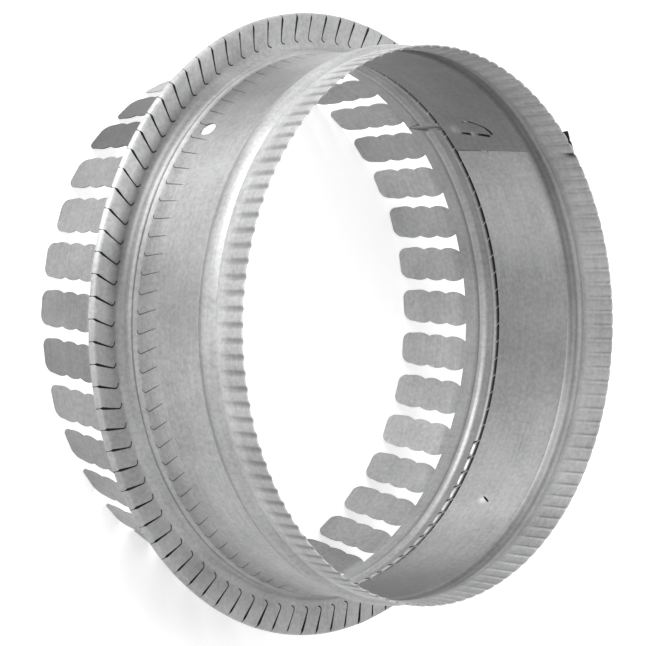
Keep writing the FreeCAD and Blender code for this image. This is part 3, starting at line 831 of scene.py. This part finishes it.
def makeFlangeStrip(part):
    random.seed(part["seed"])
    count = part["slitCount"]
    pitch = 360 / count
    path = part["path"]
    along = [0.0]
    for (r0, z0), (r1, z1) in zip(path, path[1:]):
        along.append(along[-1] + math.hypot(r1 - r0, z1 - z0))
    total = along[-1]

    def spot(p):
        p = max(0, min(total, p))
        for i in range(len(path) - 1):
            if p <= along[i + 1]:
                t = (p - along[i]) / (along[i + 1] - along[i])
                (r0, z0), (r1, z1) = path[i], path[i + 1]
                return r0 + (r1 - r0) * t, z0 + (z1 - z0) * t
        return path[-1]

    def placeOf(radius):
        for i in range(len(path) - 1, 0, -1):
            if path[i - 1][0] <= radius <= path[i][0]:
                t = (radius - path[i - 1][0]) / (path[i][0] - path[i - 1][0])
                return along[i - 1] + t * (along[i] - along[i - 1])

    faceCorner = placeOf(part["slitRoot"])
    fold = placeOf(part["rimFold"])
    legCorner = part["legCorner"]

    # Both rows of slits lean; the sector is drawn upright and leans back when it is bent round
    legLean, upright = part["legLean"]

    def lean(p, angle):
        if p < legCorner:
            return -legLean * math.sin(math.radians(angle - upright)) * (legCorner - p) / legCorner
        if p > faceCorner:
            return -part["faceLean"] * min(1, (p - faceCorner) / (fold - faceCorner))
        return 0.0

    # One sector drawn flat: its border, a hooked slit in the face and one in the leg
    unit = math.radians(1) * part["drawnRadius"]       # mm per degree in the flat drawing
    left = part["sectorStart"] * unit
    right = left + pitch * unit
    x = part["faceSlit"] * unit
    hookStart, hookTurn, hookSteps, hook = faceCorner + 1.5, 11, 6, part["hookRadius"]
    stops = [total + 0.6, total - 0.9, fold + 0.4, fold - 1.2, (fold + faceCorner) / 2, hookStart]
    line = [(x, p) for p in stops]
    widths = [1.1, 0.3, 0.45, part["rimGap"], part["rootGap"] + 0.3, part["rootGap"]]
    for i in range(1, hookSteps + 1):
        turn = math.radians(hookTurn * i)
        line.append((x - hook * (1 - math.cos(turn)), hookStart - hook * math.sin(turn)))
        widths.append(part["rootGap"])
    line.append((line[-1][0] - 1.1, line[-1][1] - 0.35))
    widths.append(part["rootGap"] * 0.8)
    faceSlit = slitOutline(line, widths)
    x = part["legSlit"] * unit
    line = [(x, 1.5), (x, 6), (x, legCorner)]
    line += [(x - aside, legCorner + up) for aside, up in ((0.3, 1.0), (1.0, 1.8), (2.2, 2.2))]
    legSlit = slitOutline(line, [0.2, 0.5] + [part["legGap"]] * (len(line) - 2))

    inside = along[1:-1]
    steps = [left + (right - left) * i / 6 for i in range(7)]
    border = [(x, 0) for x in steps] + [(right, p) for p in inside]
    border += [(x, total) for x in reversed(steps)] + [(left, p) for p in reversed(inside)]
    loose = [(x, p) for x in steps[1:-1] for p in inside]
    clearance = 0.25
    plain = fillFlat(border, loose, [faceSlit, legSlit], clearance)

    # The damper shaft's hole is cut from the sector that it falls in and from the two beside it
    holeAngle, holeDistance, holeRadius = sleeve["hole"]
    holeRow = path[0][1] - (sleeve["freeEnd"] - holeDistance)
    hole = []
    for i in range(part["holeSides"]):
        turn = 2 * math.pi * i / part["holeSides"]
        p = holeRow + holeRadius * math.sin(turn)
        angle = holeAngle + math.degrees(holeRadius * math.cos(turn) / path[0][0]) - lean(p, holeAngle)
        hole.append((angle, p))
    holed = int((holeAngle - lean(holeRow, holeAngle) - part["sectorStart"]) // pitch)
    pierced = {}
    for k in (holed - 1, holed, holed + 1):
        shiftedHole = [((angle - k * pitch) * unit, p) for angle, p in hole]
        pierced[k] = fillFlat(border, loose, [faceSlit, legSlit, shiftedHole], clearance), shiftedHole

    tilts = [random.uniform(-1, 1) for _ in range(count)]
    droops = [random.uniform(*part["droopRange"]) for _ in range(count)]
    shades = [random.uniform(*part["shadeRange"]) for _ in range(count)]
    creaseBehind, creaseWidth = part["crease"]
    neckAngle, neckWidth, neckChange = part["neckShade"]
    points, faces, tones, faceFloors, legFloors = [], [], [], [], []
    for k in range(count):
        first = len(points)
        (found, triangles, inHoles), opening = pierced[k] if k in pierced else (plain, None)
        for face in inHoles:
            cx = sum(found[n][0] for n in face) / 3
            cy = sum(found[n][1] for n in face) / 3
            if opening and insidePolygon(cx, cy, opening):
                continue
            (faceFloors if insidePolygon(cx, cy, faceSlit) else legFloors).append([first + n for n in face])
        for x, p in found:
            radius, height = spot(p)
            angle = x / unit + k * pitch
            angle += lean(p, angle)
            onFace = smoothStep((p - faceCorner + 3) / 12)
            finger = (k if x / unit < part["faceSlit"] else k + 1) % count
            aside = x / unit - part["faceSlit"]
            aside += pitch / 2 if x / unit < part["faceSlit"] else -pitch / 2     # from the finger's middle
            if p > faceCorner - 3:
                height += onFace * (tilts[finger] * aside * part["tiltShare"] + droops[finger])
            points.append(polar(angle, radius, height))

            # Tone of the finger, partly at random and partly painted light, then painted light and shade on
            # the leg, painted shade in the crease behind it and on the neck
            tone = 1 + (shades[finger] * fieldTone([part["faceLight"]], angle) - 1) * onFace
            onLeg = 1 - smoothStep((p - legCorner - 1) / 4)
            tone *= 1 + (fieldTone(sleeve["outerFields"], angle) - 1) * onLeg
            crease = bell(p - legCorner - creaseBehind, creaseWidth)
            tone *= 1 + (fieldTone([part["creaseShade"]], angle) - 1) * crease
            onNeck = smoothStep((p - faceCorner + 11) / 3) * (1 - smoothStep((p - faceCorner - 1) / 3))
            tones.append(tone * (1 + neckChange * onNeck * bell(turnFrom(angle, neckAngle), neckWidth, 4)))
        faces += [[first + n for n in face] for face in triangles]
    # the slits' dark floors are painted shadow
    for name, floorFaces, finish in (("faceSlitFloors", faceFloors, slitShadow),
                                     ("legSlitFloors", legFloors, legSlitShadow)):
        floor = sheetPiece(name, points, floorFaces, part["floorGauge"])
        floor.data.materials.append(finish)
        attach(floor, "root")
    piece = sheetPiece("flangeStrip", points, faces, part["gauge"], tones)
    piece.data.materials.append(flangeSteel)
    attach(piece, "root")
    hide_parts("flange_ring")


makeFlangeStrip(flangeStrip)
print("flange strip ready")


# The strip's hooks peep out between the tab ring and the sleeve: dashes low down, fine ticks elsewhere, made
# light as a painted highlight, with dark cuts beside the dashes as painted shadow
hookEnds = {
    "count": 92,
    "phase": 1.6,
    "dashFrom": 242.0,
    "dashTo": 342.0,
    "dashSpan": 2.5,
    "dashHeights": (67.3, 68.8),
    "tickHeights": (68.2, 71.4),
    "tickWidth": 0.17,
    "place": 0.42,                 # ticks and cuts lie this share of a pitch past the middle
    "tickSlant": 0.75,
    "dashCurl": 0.35,
    "dashProfile": (0.15, -0.15, 0.25),      # out from the radius: low edge, middle, high edge
    "cutWidth": 0.32,
    "cutSlant": 0.4,
    "cutReach": (0.3, 0.4),        # below and above the dashes
    "radius": 152.3,
    "gauge": 0.25,
    # painted highlight: the dashes and ticks are made lighter
    "tone": 1.5,
}


def makeHookEnds(part):
    dashes, ticks, cuts = ([], []), ([], []), ([], [])
    pitch = 360 / part["count"]
    dashSteps, tickSteps = 6, 5
    low, high = part["dashHeights"]
    lowOut, middleOut, highOut = part["dashProfile"]
    below, above = part["cutReach"]
    tickLow, tickHigh = part["tickHeights"]
    for k in range(part["count"]):
        middle = part["phase"] + k * pitch
        beside = middle + part["place"] * pitch
        if part["dashFrom"] < middle < part["dashTo"]:
            first = len(dashes[0])
            for i in range(dashSteps + 1):
                t = i / dashSteps
                angle = middle + (t - 0.5) * part["dashSpan"]
                curl = part["dashCurl"] * math.sin(math.pi * t)
                for z, out in ((low, lowOut), ((low + high) / 2, middleOut - curl), (high, highOut)):
                    dashes[0].append(polar(angle, part["radius"] + out, z))
            for i in range(dashSteps):
                for j in range(2):
                    a = first + i * 3 + j
                    dashes[1].append([a, a + 3, a + 4, a + 1])
            first = len(cuts[0])
            for i in range(2):
                for j, z in enumerate((low - below, high + above)):
                    angle = beside + (i - 0.5) * part["cutWidth"] + j * part["cutSlant"]
                    cuts[0].append(polar(angle, part["radius"] - 0.1, z))
            cuts[1].append([first, first + 2, first + 3, first + 1])
        first = len(ticks[0])
        for i in range(tickSteps + 1):
            t = i / tickSteps
            angle = beside + part["tickSlant"] * t * t
            z = tickLow + (tickHigh - tickLow) * t
            for side in (-0.5, 0.5):
                ticks[0].append(polar(angle + side * part["tickWidth"], part["radius"] + 0.1, z))
        ticks[1].extend([first + 2 * i + n for n in (0, 1, 3, 2)] for i in range(tickSteps))
    for name, (points, faces), finish in (("hookDashes", dashes, flangeSteel),
                                          ("hookTicks", ticks, flangeSteel),
                                          ("hookCuts", cuts, slitShadow)):
        piece = sheetPiece(name, points, faces, part["gauge"], [part["tone"]] * len(points))
        piece.data.materials.append(finish)
        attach(piece, "root")


makeHookEnds(hookEnds)
print("hook ends ready")
